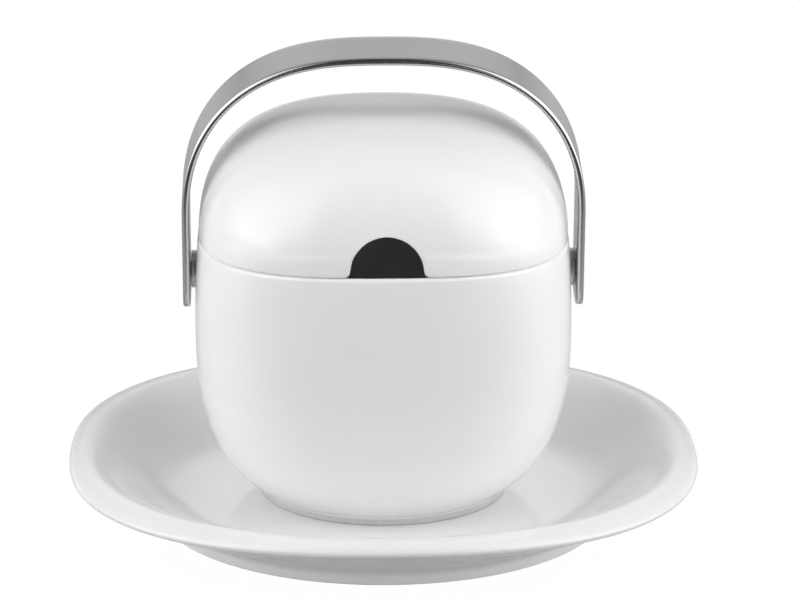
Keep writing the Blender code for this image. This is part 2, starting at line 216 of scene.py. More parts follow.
# ----------------------------------------------------------------- materials
class Nodes:
    """Small helper that adds and links shader nodes."""

    def __init__(self, name):
        self.mat = bpy.data.materials.new(name)
        self.mat.use_nodes = True
        self.tree = self.mat.node_tree
        self.bsdf = self.tree.nodes["Principled BSDF"]

    def add(self, kind, **props):
        node = self.tree.nodes.new(kind)
        inputs = props.pop("inputs", {})
        for k, v in props.items():
            setattr(node, k, v)
        for k, v in inputs.items():
            if isinstance(v, bpy.types.NodeSocket):
                self.tree.links.new(v, node.inputs[k])
            else:
                node.inputs[k].default_value = v
        return node

    def link(self, out, socket):
        self.tree.links.new(out, socket)

    def ramp(self, fac, stops, mode="LINEAR"):
        node = self.add("ShaderNodeValToRGB", inputs={"Fac": fac})
        node.color_ramp.interpolation = mode
        els = node.color_ramp.elements
        while len(els) < len(stops):
            els.new(0.5)
        for el, (pos, val) in zip(els, stops):
            el.position = pos
            el.color = (*val, 1.0) if isinstance(val, tuple) else (val, val, val, 1.0)
        return node

    def math(self, op, a, b=0.0, clamp=False):
        return self.add("ShaderNodeMath", operation=op, use_clamp=clamp, inputs={0: a, 1: b}).outputs[0]

    def mix(self, fac, a, b):
        node = self.add("ShaderNodeMix", data_type="RGBA", inputs={0: fac})
        for k, v in ((6, a), (7, b)):
            if isinstance(v, bpy.types.NodeSocket):
                self.link(v, node.inputs[k])
            else:
                node.inputs[k].default_value = v
        return node.outputs[2]


def china(name, bare_shade_low, bare_shade_high, seed):
    """White glaze with faint pooling, pin specks and an unglazed contact band, its grey darkened as painted shade.

    Between the heights given (mm) the glaze is wiped off, and the grey there is darkened as painted shade.
    """
    m = Nodes(name)
    coord = m.add("ShaderNodeTexCoord").outputs["Object"]
    place = m.add("ShaderNodeMapping", inputs={"Vector": coord, "Location": (seed, 2.1 * seed, -seed)}).outputs[0]
    height = m.add("ShaderNodeSeparateXYZ", inputs={"Vector": coord}).outputs["Z"]
    pool = m.add("ShaderNodeTexNoise", inputs={"Vector": place, "Scale": 22.0, "Detail": 3.0, "Roughness": 0.5}).outputs["Fac"]
    grain = m.add("ShaderNodeTexNoise", inputs={"Vector": place, "Scale": 900.0, "Detail": 2.0, "Roughness": 0.6}).outputs["Fac"]
    tint = m.ramp(pool, ((0.30, (0.858, 0.858, 0.856)), (0.70, (0.882, 0.882, 0.880))))
    # sparse pin specks in the glaze
    cells = m.add("ShaderNodeTexVoronoi", inputs={"Vector": place, "Scale": 62.0, "Randomness": 1.0})
    pick = m.add("ShaderNodeSeparateColor", inputs={"Color": cells.outputs["Color"]}).outputs["Red"]
    rare = m.math("GREATER_THAN", pick, 0.955)
    dot = m.ramp(cells.outputs["Distance"], ((0.010, 1.0), (0.034, 0.0)))
    speck = m.math("MULTIPLY", rare, dot.outputs["Color"])
    colour = m.mix(m.math("MULTIPLY", speck, 0.42), tint.outputs["Color"], (0.36, 0.34, 0.32, 1.0))
    # unglazed contact band, its edge a little uneven; its darker grey is partly painted shade under the foot
    wander = m.math("MULTIPLY", pool, 0.0004)
    edge = m.math("ADD", height, wander)
    below = m.add("ShaderNodeMapRange", interpolation_type="SMOOTHSTEP", inputs={"Value": edge, "From Min": bare_shade_high * MM, "From Max": bare_shade_high * MM + 0.00025, "To Min": 1.0, "To Max": 0.0}).outputs[0]
    above = m.add("ShaderNodeMapRange", interpolation_type="SMOOTHSTEP", inputs={"Value": edge, "From Min": bare_shade_low * MM - 0.00025, "From Max": bare_shade_low * MM, "To Min": 0.0, "To Max": 1.0}).outputs[0]
    bare_and_shade = m.math("MULTIPLY", below, above)
    # painted shade: the unglazed band's grey sits well below white bisque so the foot ring looks shaded
    clay_shade = m.ramp(grain, ((0.3, (0.575, 0.573, 0.565)), (0.7, (0.645, 0.643, 0.635))))
    m.link(m.mix(bare_and_shade, colour, clay_shade.outputs["Color"]), m.bsdf.inputs["Base Color"])
    gloss = m.add("ShaderNodeMapRange", inputs={"Value": pool, "From Min": 0.3, "From Max": 0.7, "To Min": 0.085, "To Max": 0.125}).outputs[0]
    rough = m.add("ShaderNodeMapRange", inputs={"Value": bare_and_shade, "To Min": 0.0, "To Max": 0.62}).outputs[0]
    m.link(m.math("ADD", gloss, rough), m.bsdf.inputs["Roughness"])
    # the glaze flows in very shallow waves; the unglazed band is sandy
    wave = m.add("ShaderNodeTexNoise", inputs={"Vector": place, "Scale": 58.0, "Detail": 1.5, "Roughness": 0.45}).outputs["Fac"]
    swell = m.add("ShaderNodeBump", inputs={"Strength": 0.05, "Distance": 0.0006, "Height": wave})
    sand = m.add("ShaderNodeBump", inputs={"Strength": m.math("MULTIPLY", bare_and_shade, 0.5), "Distance": 0.0002, "Height": grain, "Normal": swell.outputs[0]})
    pit = m.add("ShaderNodeBump", invert=True, inputs={"Strength": 0.35, "Distance": 0.0001, "Height": speck, "Normal": sand.outputs[0]})
    m.link(pit.outputs[0], m.bsdf.inputs["Normal"])
    m.bsdf.inputs["IOR"].default_value = 1.52
    return m.mat


def steel(name, lengthwise, tone=1.0, rough=(0.15, 0.20)):
    """Satin steel; the grain runs along U on the strap, round the axis on turned pieces."""
    m = Nodes(name)
    tex = m.add("ShaderNodeTexCoord")
    if lengthwise:
        coord = tex.outputs["UV"]
        stretch = (6.0, 900.0, 1.0)
        broad = (1.5, 120.0, 1.0)
    else:
        part = m.add("ShaderNodeSeparateXYZ", inputs={"Vector": tex.outputs["Object"]})
        up = m.math("SUBTRACT", part.outputs["Z"], PIVOT_Z * MM)
        rad = m.math("SQRT", m.math("ADD", m.math("MULTIPLY", part.outputs["Y"], part.outputs["Y"]), m.math("MULTIPLY", up, up)))
        coord = m.add("ShaderNodeCombineXYZ", inputs={"X": part.outputs["X"], "Y": rad, "Z": 0.0}).outputs[0]
        stretch = (900.0, 5200.0, 1.0)
        broad = (300.0, 1400.0, 1.0)
    fine = m.add("ShaderNodeTexNoise", inputs={"Vector": m.add("ShaderNodeMapping", inputs={"Vector": coord, "Scale": stretch}).outputs[0], "Scale": 1.0, "Detail": 3.0, "Roughness": 0.6}).outputs["Fac"]
    wide = m.add("ShaderNodeTexNoise", inputs={"Vector": m.add("ShaderNodeMapping", inputs={"Vector": coord, "Scale": broad}).outputs[0], "Scale": 1.0, "Detail": 2.0, "Roughness": 0.5}).outputs["Fac"]
    both = m.math("MULTIPLY_ADD", fine, 0.6, False)
    m.link(m.math("MULTIPLY", wide, 0.4), both.node.inputs[2])
    m.link(m.ramp(both, ((0.3, (0.515 * tone, 0.515 * tone, 0.52 * tone)), (0.7, (0.555 * tone, 0.555 * tone, 0.56 * tone)))).outputs["Color"], m.bsdf.inputs["Base Color"])
    m.link(m.add("ShaderNodeMapRange", inputs={"Value": both, "From Min": 0.3, "From Max": 0.7, "To Min": rough[0], "To Max": rough[1]}).outputs[0], m.bsdf.inputs["Roughness"])
    bump = m.add("ShaderNodeBump", inputs={"Strength": 0.05, "Distance": 0.00006, "Height": fine})
    m.link(bump.outputs[0], m.bsdf.inputs["Normal"])
    m.bsdf.inputs["Metallic"].default_value = 1.0
    if lengthwise:
        m.bsdf.inputs["Anisotropic"].default_value = 0.35
    return m.mat


# -------------------------------------------------------------------- saucer
def saucer_sections():
    foot_n = 2.0
    inner = SAUCER_FOOT_HALF - SAUCER_FOOT_W
    r = SAUCER_EDGE_R
    end = arc(SAUCER_HALF - r, SAUCER_EDGE_Z, r, -75.0, 0.0, 8)

    def under(t):
        return lerp(SAUCER_FOOT_HALF, end[0][0], t), lerp(SAUCER_FOOT_H, end[0][1], t ** 0.8)

    first = under(0.16)
    foot = fillet([
        (inner * 0.75, SAUCER_RECESS_Z, 0.0),
        (inner - 0.9, SAUCER_RECESS_Z, 1.6),
        (inner + 0.2, 0.0, 0.7),
        (SAUCER_FOOT_HALF, 0.0, 0.6),
        (SAUCER_FOOT_HALF, SAUCER_FOOT_H, 2.6),
        (first[0], first[1], 0.0),
    ], 8)
    out = [(0.0, SAUCER_RECESS_Z, foot_n)]
    out += [(inner * k, SAUCER_RECESS_Z, foot_n) for k in (0.03, 0.2, 0.4, 0.6)]
    for h, z in foot:
        t = max(0.0, (h - SAUCER_FOOT_HALF) / (end[0][0] - SAUCER_FOOT_HALF))
        out.append((h, z, lerp(foot_n, SAUCER_N, min(1.0, 1.3 * t))))
    for i in range(1, 18):
        t = lerp(0.16, 1.0, i / 18.0)
        h, z = under(t)
        k = min(1.0, 1.3 * t)
        out.append((h, z, lerp(foot_n, SAUCER_N, k)))
    out += [(h, z, SAUCER_N) for h, z in end]
    for i in range(1, 15):
        a = math.radians(90.0 - 90.0 * i / 14.0)
        out.append((lerp(SAUCER_CREST_HALF, SAUCER_HALF, math.sin(a)), lerp(SAUCER_EDGE_Z, SAUCER_CREST_Z, math.cos(a)), lerp(SAUCER_N, SAUCER_CREST_N, i / 14.0)))
    for i in range(1, 41):
        t = 1.0 - i / 40.0
        u = t ** 1.25
        out.append((lerp(SAUCER_FLOOR_HALF, SAUCER_CREST_HALF, t), lerp(SAUCER_FLOOR_Z, SAUCER_CREST_Z, u * u * (3.0 - 2.0 * u)), lerp(SAUCER_DISH_N, SAUCER_CREST_N, t)))
    out += [(SAUCER_FLOOR_HALF * k, SAUCER_FLOOR_Z, SAUCER_DISH_N) for k in (0.85, 0.7, 0.5, 0.3, 0.15, 0.03)]
    out.append((0.0, SAUCER_FLOOR_Z, SAUCER_DISH_N))
    return out


saucer = new_object("saucer_glazed", *loft(saucer_sections(), ROUND), china("saucer_glaze", -1.0, 0.25, 0.31))


# ----------------------------------------------------------------------- pot
def pot_n(z):
    return lerp(POT_N_FOOT, POT_N_RIM, min(1.0, max(0.0, (z - POT_TUCK_Z) / 45.0)))


def pot_lower(angle):
    c, s = math.cos(math.radians(angle)), math.sin(math.radians(angle))
    half = POT_TUCK_HALF + (POT_BELLY_HALF - POT_TUCK_HALF) * max(c, 0.0) ** (2.0 / 2.41)
    toe = min(1.0, max(0.0, (POT_TOE_HALF - half) / POT_TOE_W))
    return half, POT_BELLY_Z - (POT_BELLY_Z - POT_TUCK_Z) * s ** (2.0 / 2.62) - POT_TOE_DROP * toe * toe


def pot_upper(z):
    t = (z - POT_BELLY_Z) / (POT_RIM_Z - POT_BELLY_Z)
    return POT_BELLY_HALF - (POT_BELLY_HALF - POT_RIM_HALF) * t * t


def pot_sections():
    n0 = POT_N_FOOT
    inner = POT_FOOT_HALF - POT_FOOT_W
    lo, hi = 0.0, 90.0
    for _ in range(40):
        mid = 0.5 * (lo + hi)
        if pot_lower(mid)[0] > POT_FOOT_HALF + 1.0:
            lo = mid
        else:
            hi = mid
    start = lo
    second = pot_lower(start * (1.0 - 1.5 / 44.0) ** 1.15)
    foot = fillet([
        (inner * 0.8, POT_RECESS_Z, 0.0),
        (inner - 0.5, POT_RECESS_Z, 1.0),
        (inner + 0.1, POT_BASE_Z, 0.7),
        (POT_FOOT_HALF, POT_BASE_Z, 0.35),
        (POT_FOOT_HALF, pot_lower(start)[1] - 0.55, 0.45),
        (second[0], second[1], 0.0),
    ], 6)
    out = [(0.0, POT_RECESS_Z, n0)] + [(inner * k, POT_RECESS_Z, n0) for k in (0.03, 0.25, 0.5)]
    out += [(h, z, n0 if h < POT_FOOT_HALF + 0.3 else pot_n(z)) for h, z in foot]
    for i in range(2, 45):
        h, z = pot_lower(start * (1.0 - i / 44.0) ** 1.15)
        out.append((h, z, pot_n(z)))
    top = POT_RIM_Z - POT_RIM_R
    for i in range(1, 15):
        z = lerp(POT_BELLY_Z, top, i / 14.0)
        out.append((pot_upper(z), z, pot_n(z)))
    # rounded lip, then a seat for the lid that slopes into the mouth
    h = pot_upper(top)
    lip = arc(h - POT_RIM_R, top, POT_RIM_R, 0.0, 90.0 + POT_SEAT_SLOPE, 10)
    mouth = POT_RIM_HALF - POT_WALL
    run = lip[-1][0] - mouth
    corner = (mouth, lip[-1][1] - run * math.tan(math.radians(POT_SEAT_SLOPE)))
    seat = fillet([(lip[-1][0], lip[-1][1], 0.0), (corner[0], corner[1], POT_MOUTH_R), (mouth, POT_BELLY_Z + 15.0, 0.0)], 6)
    out += [(ph, pz, POT_N_RIM) for ph, pz in lip[1:]]
    out += [(ph, pz, POT_N_RIM) for ph, pz in seat[1:]]
    for i in range(1, 7):
        z = lerp(POT_BELLY_Z + 15.0, POT_BELLY_Z, i / 6.0)
        out.append((lerp(mouth, POT_BELLY_HALF - POT_WALL, (i / 6.0) ** 1.5), z, POT_N_RIM))
    hin = POT_BELLY_HALF - POT_WALL
    for i in range(1, 25):
        a = math.radians(90.0 * (i / 24.0) ** 0.9)
        half = 22.0 + (hin - 22.0) * max(math.cos(a), 0.0) ** (2.0 / 2.4)
        z = POT_BELLY_Z - (POT_BELLY_Z - POT_FLOOR_Z) * math.sin(a) ** (2.0 / 2.06)
        out.append((half, z, pot_n(z)))
    out += [(22.0 * k, POT_FLOOR_Z, n0) for k in (0.75, 0.45, 0.2, 0.04)]
    out.append((0.0, POT_FLOOR_Z, n0))
    return out


pot_glaze = china("pot_glaze", POT_BASE_Z - 1.0, POT_BASE_Z + 2.0, 0.77)
pot = new_object("pot_glazed", *loft(pot_sections(), ROUND), pot_glaze)
for sign in (-1.0, 1.0):
    socket = [
        (SOCKET_X, 0.0), (SOCKET_X, PIN_R + PIN_PLAY), (BUSH_X0 - GAP, PIN_R + PIN_PLAY),
        (BUSH_X0 - GAP, BUSH_R + GAP), (STRAP_HALF, BUSH_R + GAP), (STRAP_HALF, 0.0),
    ]
    boolean(pot, new_object("socket_tool", *skin(turned(socket, sign)), pot_glaze))


# ----------------------------------------------------------------------- lid
def dome_half(z, half, base, rise):
    """Half width of the dome at height z; straight below its base."""
    up = np.clip((z - base) / rise, 0.0, 1.0)
    s = up ** (LID_Q / 2.0)
    return half * np.sqrt(np.maximum(1.0 - s * s, 0.0)) ** (2.0 / LID_P)


def dome_n(z, base, rise):
    up = np.clip((z - base) / rise, 0.0, 1.0)
    return LID_N_RIM + (LID_N_TOP - LID_N_RIM) * up * up


def front_y(x, half, n):
    return -np.maximum(half ** n - np.abs(x) ** n, 0.0) ** (1.0 / n)


def lid_columns():
    """Column angles, crowded where the notch's outline turns into the edge."""
    lim, corner = 42.0, 2.0 * NOTCH_R
    t = np.linspace(0.0, 1.0, 27)[1:]
    inside = corner * (1.0 - (1.0 - t) ** 2.2)
    t = np.linspace(0.0, 1.0, 17)[1:]
    outside = corner + (lim - corner) * t ** 2.0
    right = np.concatenate((inside, outside))
    phi = np.concatenate((-right[::-1], [0.0], right))
    # polar angle of each column at the lid's edge
    y = front_y(phi, LID_HALF, LID_N_RIM)
    front = np.arctan2(y, phi)
    a0, a1 = front[-1], front[0] + 2.0 * math.pi
    rest = np.linspace(a0, a1, 176)[1:-1]
    return np.concatenate((front, rest)), np.concatenate((phi, np.full(len(rest), np.nan)))


def around_notch(x, up):
    """Move points of the front so that the lid's edge runs over the notch.

    The edge follows the stream line of a flow over a half round, so every row
    above it bends round the notch and fades out into the plain dome.
    """
    soft = 0.05
    w = x + 1j * (np.maximum(up, 0.0) + soft)
    root = np.sqrt(w - 2.0 * NOTCH_R) * np.sqrt(w + 2.0 * NOTCH_R)
    zeta = 0.5 * (w + root)
    lift = NOTCH_RISE * (1.0 - smooth(2.0 * NOTCH_R - 1.3, 2.0 * NOTCH_R + 0.12, np.abs(x)))
    fade = (1.0 - smooth(25.0, 40.0, np.abs(x))) * (1.0 - smooth(9.0, 27.0, up))
    return x + fade * (zeta.real - x), up + fade * (zeta.imag - soft - up + lift)


def lid_mesh():
    angles, phi = lid_columns()
    front = ~np.isnan(phi)
    px = np.where(front, phi, 0.0)
    hold = np.where(front, 1.0 - smooth(30.0, 41.0, np.abs(px)), 0.0)
    notch = np.where(front, 1.0 - smooth(2.0 * NOTCH_R - 0.6, 2.0 * NOTCH_R + 1.6, np.abs(px)), 0.0)
    base = LID_BASE_Z
    flange_out = POT_RIM_HALF - POT_WALL - FLANGE_PLAY
    flange_in = flange_out - FLANGE_WALL
    in_base, in_top = base + 2.0, base + LID_RISE - LID_WALL
    in_rise = in_top - in_base
    rows = []

    def outside(x, z):
        return front_y(x, dome_half(z, LID_HALF, base, LID_RISE), dome_n(z, base, LID_RISE))

    def inside(x, z):
        return front_y(x, dome_half(z, flange_in, in_base, in_rise), dome_n(z, in_base, in_rise))

    def outer_row(z, inset=0.0):
        """Row of the dome's outside; inset draws it in to round the lower edge."""
        h = float(dome_half(z, LID_HALF, base, LID_RISE)) - inset
        x, y = squircle(h, float(dome_n(z, base, LID_RISE)), angles)
        zz = np.full_like(x, z)
        near = front & (np.abs(x) < 41.0) & (z < base + 27.0)
        fx, fu = around_notch(x[near], zz[near] - base)
        x[near], zz[near] = fx, base + fu
        y[near] = outside(fx, zz[near]) + inset
        return np.stack((x, y, zz), 1)

    def inner_row(h, z, n, tunnel=None):
        """Row under the lid; tunnel is how far it lies through the wall at the notch."""
        x, y = squircle(h, n, angles)
        zz = np.full_like(x, z)
        up = np.maximum(zz - base, 0.0)
        sx = lerp(x, px, hold * (1.0 - smooth(8.0, 22.0, up)))
        fx, fu = around_notch(sx, up)
        fz = base + fu
        if tunnel is None:
            fy = inside(fx, fz)
        else:
            fy = lerp(outside(fx, fz), inside(fx, fz), tunnel)
        flat_y = front_y(sx, h, n)
        yy = lerp(flat_y, fy, notch if tunnel is not None else 1.0)
        # outside the notch the row keeps its own height under the edge
        low = np.where(zz < base, zz - base, 0.0) * (1.0 - notch)
        x = lerp(x, fx, hold)
        y = lerp(y, yy, hold)
        zz = lerp(zz, fz + low, hold)
        return np.stack((x, y, zz), 1)

    # inside of the dome, from its top to the flange
    halves = np.concatenate(([0.6, 3.0], np.linspace(6.0, 38.0, 14)))
    for h in halves:
        s = (1.0 - (h / flange_in) ** LID_P) ** 0.5
        z = in_base + in_rise * s ** (2.0 / LID_Q)
        rows.append(inner_row(h, z, float(dome_n(z, in_base, in_rise))))
    for z in np.linspace(z, in_base, 22)[1:]:
        rows.append(inner_row(float(dome_half(z, flange_in, in_base, in_rise)), z, float(dome_n(z, in_base, in_rise))))
    for z in (base + 1.3, base + 0.6):
        rows.append(inner_row(flange_in, z, LID_N_RIM))
    # flange: down its inside, round its foot and up its outside; the rows that
    # hang down beside the notch lie along the wall inside the notch
    low = base - FLANGE_DEPTH
    path = fillet([(flange_in, base, 0.0), (flange_in, low, 1.1), (flange_out, low, 1.1), (flange_out, base - 0.45, 0.0)], 6)
    path = [(flange_in, base)] + [(flange_in, lerp(base, low + 1.1, k)) for k in (0.35, 0.7)] + path[1:-1] + [(flange_out, lerp(low + 1.1, base - 0.45, k)) for k in (0.4, 1.0)]
    path += [(flange_out + 0.13, base - 0.13), (flange_out + 0.45, base)]
    r = LID_EDGE_R
    depth_edge = LID_HALF - flange_in
    count = len(path)
    last = (LID_HALF - flange_out - 0.45) / depth_edge
    for k, (h, z) in enumerate(path):
        rows.append(inner_row(h, z, LID_N_RIM, tunnel=lerp(1.0, last, k / (count - 1.0))))
    for k in (0.3, 0.6, 0.85):
        h = lerp(flange_out + 0.45, LID_HALF - r, k)
        rows.append(inner_row(h, base, LID_N_RIM, tunnel=(LID_HALF - h) / depth_edge))
    # rounded lower edge, then the outside of the dome
    for a in np.radians(np.linspace(90.0, 0.0, 9)):
        rows.append(outer_row(base + r * (1.0 - math.sin(a)), r * (1.0 - math.cos(a))))
    z = base + r
    step = 0.35
    while z < base + 25.0:
        z += step
        step = min(step * 1.12, 1.3)
        rows.append(outer_row(z))
    h0 = float(dome_half(z, LID_HALF, base, LID_RISE))
    for h in np.concatenate((np.linspace(h0, 5.0, 34)[1:], [3.0, 1.2, 0.4])):
        s = (1.0 - (h / LID_HALF) ** LID_P) ** 0.5
        rows.append(outer_row(base + LID_RISE * s ** (2.0 / LID_Q)))
    chain = [[(0.0, 0.0, in_top)]] + [list(map(tuple, row)) for row in rows] + [[(0.0, 0.0, base + LID_RISE)]]
    return skin(chain)


lid = new_object("lid_glazed", *lid_mesh(), china("lid_glaze", LID_BASE_Z - FLANGE_DEPTH - 1.0, LID_BASE_Z - 0.6, 1.43))


# -------------------------------------------------------------------- handle
def strap_line(count=260):
    """Outside line of the strap with even spacing: points, inward normals, lengths."""
    pts = [(STRAP_HALF, -STRAP_TAIL), (STRAP_HALF, STRAP_LEG_H)]
    for a in np.linspace(0.0, math.pi, 1601)[1:]:
        c, s = math.cos(a), math.sin(a)
        pts.append((STRAP_HALF * math.copysign(abs(c) ** (2.0 / STRAP_P), c), STRAP_LEG_H + STRAP_RISE * abs(s) ** (2.0 / STRAP_Q)))
    pts.append((-STRAP_HALF, -STRAP_TAIL))
    pts = np.array(pts)
    run = np.concatenate(([0.0], np.cumsum(np.hypot(*np.diff(pts, axis=0).T))))
    total = run[-1]
    r = STRAP_CORNER
    ends = r * (1.0 - np.cos(np.radians(np.linspace(0.0, 90.0, 13))))
    mid = np.linspace(r, total - r, count)[1:-1]
    s = np.concatenate((ends, mid, total - ends[::-1]))
    x, h = np.interp(s, run, pts[:, 0]), np.interp(s, run, pts[:, 1])
    e = 0.6
    ax, ah = np.interp(s - e, run, pts[:, 0]), np.interp(s - e, run, pts[:, 1])
    bx, bh = np.interp(s + e, run, pts[:, 0]), np.interp(s + e, run, pts[:, 1])
    t = np.stack((bx - ax, bh - ah), 1)
    t /= np.linalg.norm(t, axis=1)[:, None]
    return s, total, np.stack((x, h), 1), t


def strap_section(half):
    """Rounded rectangle: pairs of (inward depth, y) once round, outside first."""
    e, t = STRAP_EDGE, STRAP_T
    pts = []
    for k in np.linspace(-1.0, 1.0, 15):
        pts.append((0.0, k * (half - e)))
    for a in np.radians(np.linspace(0.0, 90.0, 7))[1:]:
        pts.append((e - e * math.cos(a), half - e + e * math.sin(a)))
    pts.append((t * 0.5, half))
    for a in np.radians(np.linspace(90.0, 0.0, 7)):
        pts.append((t - e + e * math.cos(a), half - e + e * math.sin(a)))
    for k in np.linspace(1.0, -1.0, 15)[1:]:
        pts.append((t, k * (half - e)))
    for a in np.radians(np.linspace(0.0, 90.0, 7))[1:]:
        pts.append((t - e + e * math.cos(a), -(half - e) - e * math.sin(a)))
    pts.append((t * 0.5, -half))
    for a in np.radians(np.linspace(90.0, 0.0, 7))[:-1]:
        pts.append((e - e * math.cos(a), -(half - e) - e * math.sin(a)))
    return pts


def strap_object(mat):
    s, total, pts, tang = strap_line()
    e = STRAP_END
    rows, lengths = [], []

    def add(i, push=0.0, thin=0.0):
        d = min(s[i], total - s[i])
        half = 0.5 * STRAP_W
        if d < STRAP_CORNER:
            g = STRAP_CORNER - d
            half -= STRAP_CORNER - math.sqrt(max(0.0, STRAP_CORNER ** 2 - g * g))
        half -= thin
        p, t = pts[i], tang[i]
        n = np.array((-t[1], t[0]))
        row = []
        squeeze = 1.0 - 2.0 * thin / STRAP_T
        for off, y in strap_section(half):
            off = 0.5 * STRAP_T + (off - 0.5 * STRAP_T) * squeeze
            q = p + n * off + t * push
            row.append((q[0], y, PIVOT_Z + q[1]))
        rows.append(row)
        lengths.append(s[i] + push)

    last = len(s) - 1
    for a in np.radians(np.linspace(90.0, 15.0, 6)):
        add(0, push=e - e * math.sin(a), thin=e - e * math.cos(a))
    for i in range(len(s)):
        d = min(s[i], total - s[i])
        if d >= e:
            add(i)
    for a in np.radians(np.linspace(15.0, 90.0, 6)):
        add(last, push=-(e - e * math.sin(a)), thin=e - e * math.cos(a))
    verts, faces = skin(rows)
    m = len(rows[0])
    for base, flip in ((0, True), ((len(rows) - 1) * m, False)):
        # close each end across the thickness
        loop = list(range(base, base + m))
        faces.append(tuple(reversed(loop)) if flip else tuple(loop))
    # the handle leans to the front about its pivots
    v = np.array(verts)
    c, k = math.cos(math.radians(STRAP_LEAN)), math.sin(math.radians(STRAP_LEAN))
    up = v[:, 2] - PIVOT_Z
    leaning = np.stack((v[:, 0], v[:, 1] * c - up * k, PIVOT_Z + v[:, 1] * k + up * c), 1)
    obj = new_object("handle_strap_brushed", leaning, faces, mat, sharp=50.0)
    # length runs along U and width along V, both in metres
    uv = obj.data.uv_layers.new(name="grain")
    along = np.repeat(np.array(lengths), m)
    for poly in obj.data.polygons:
        for li in poly.loop_indices:
            vi = obj.data.loops[li].vertex_index
            uv.data[li].uv = (along[vi] * MM, v[vi][1] * MM + (0.1 if vi % m > 22 else 0.0))
    return obj


strap_steel = steel("strap_steel_satin", True)
strap = strap_object(strap_steel)
head_x = STRAP_HALF - PIN_HEAD_H
for sign in (-1.0, 1.0):
    hole = [
        (STRAP_HALF - STRAP_T - 3.0, 0.0), (STRAP_HALF - STRAP_T - 3.0, PIN_R + PIN_PLAY), (head_x - 0.2, PIN_R + PIN_PLAY),
        (head_x - 0.2, PIN_HEAD_R + PIN_PLAY), (STRAP_HALF + 2.0, PIN_HEAD_R + PIN_PLAY), (STRAP_HALF + 2.0, 0.0),
    ]
    boolean(strap, new_object("hole_tool", *skin(turned(hole, sign)), strap_steel), sharp=50.0)

pin_steel = steel("pin_steel_turned", False)
spacer = steel("bush_steel_turned", False, 1.35, (0.38, 0.48))
bushes, pins = {}, {}
for side, sign in (("left", -1.0), ("right", 1.0)):
    bore = PIN_R + PIN_PLAY
    bush_path = fillet([
        (BUSH_X0 + 0.9, bore, 0.0), (BUSH_X0, bore, 0.15), (BUSH_X0, BUSH_R, 0.2), (BUSH_X1, BUSH_R, 0.35),
        (BUSH_X1, bore, 0.15), (BUSH_X0 + 0.9, bore, 0.0),
    ], 5)
    rows = turned(bush_path[:-1], sign)
    verts, faces = skin(rows + [rows[0]])
    k = len(rows[0])
    base = len(rows) * k
    faces = [tuple(i - base if i >= base else i for i in f) for f in faces]
    bushes[side] = new_object(side + "_spacer_bush", verts[:base], faces, spacer, sharp=50.0)
    pin_path = [(PIN_END_X, 0.0)] + fillet([
        (PIN_END_X, 0.6, 0.0), (PIN_END_X, PIN_R, 0.5), (head_x, PIN_R, 0.12), (head_x, PIN_HEAD_R, 0.12), (STRAP_HALF, PIN_HEAD_R, 0.3),
        (STRAP_HALF - 0.03, 0.9, 0.0),
    ], 5) + [(STRAP_HALF - 0.08, 0.5), (STRAP_HALF - 0.1, 0.0)]
    pins[side] = new_object(side + "_turned_pin", *skin(turned(pin_path, sign)), pin_steel, sharp=50.0)

# --------------------------------------------------- tie the pieces to the frame
for piece, node, body, slot in (
    (saucer, "saucer", "saucer", "porcelain"),
    (pot, "pot_body", "pot", "porcelain"),
    (lid, "lid", "lid", "porcelain"),
    (strap, "handle_strap", "handle", "satin_steel"),
    (bushes["left"], "left_bushing", "pot", "dark_bush"),
    (bushes["right"], "right_bushing", "pot", "dark_bush"),
    (pins["left"], "left_pivot_pin", "handle", "satin_steel"),
    (pins["right"], "right_pivot_pin", "handle", "satin_steel"),
):
    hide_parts(node)
    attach(piece, body)


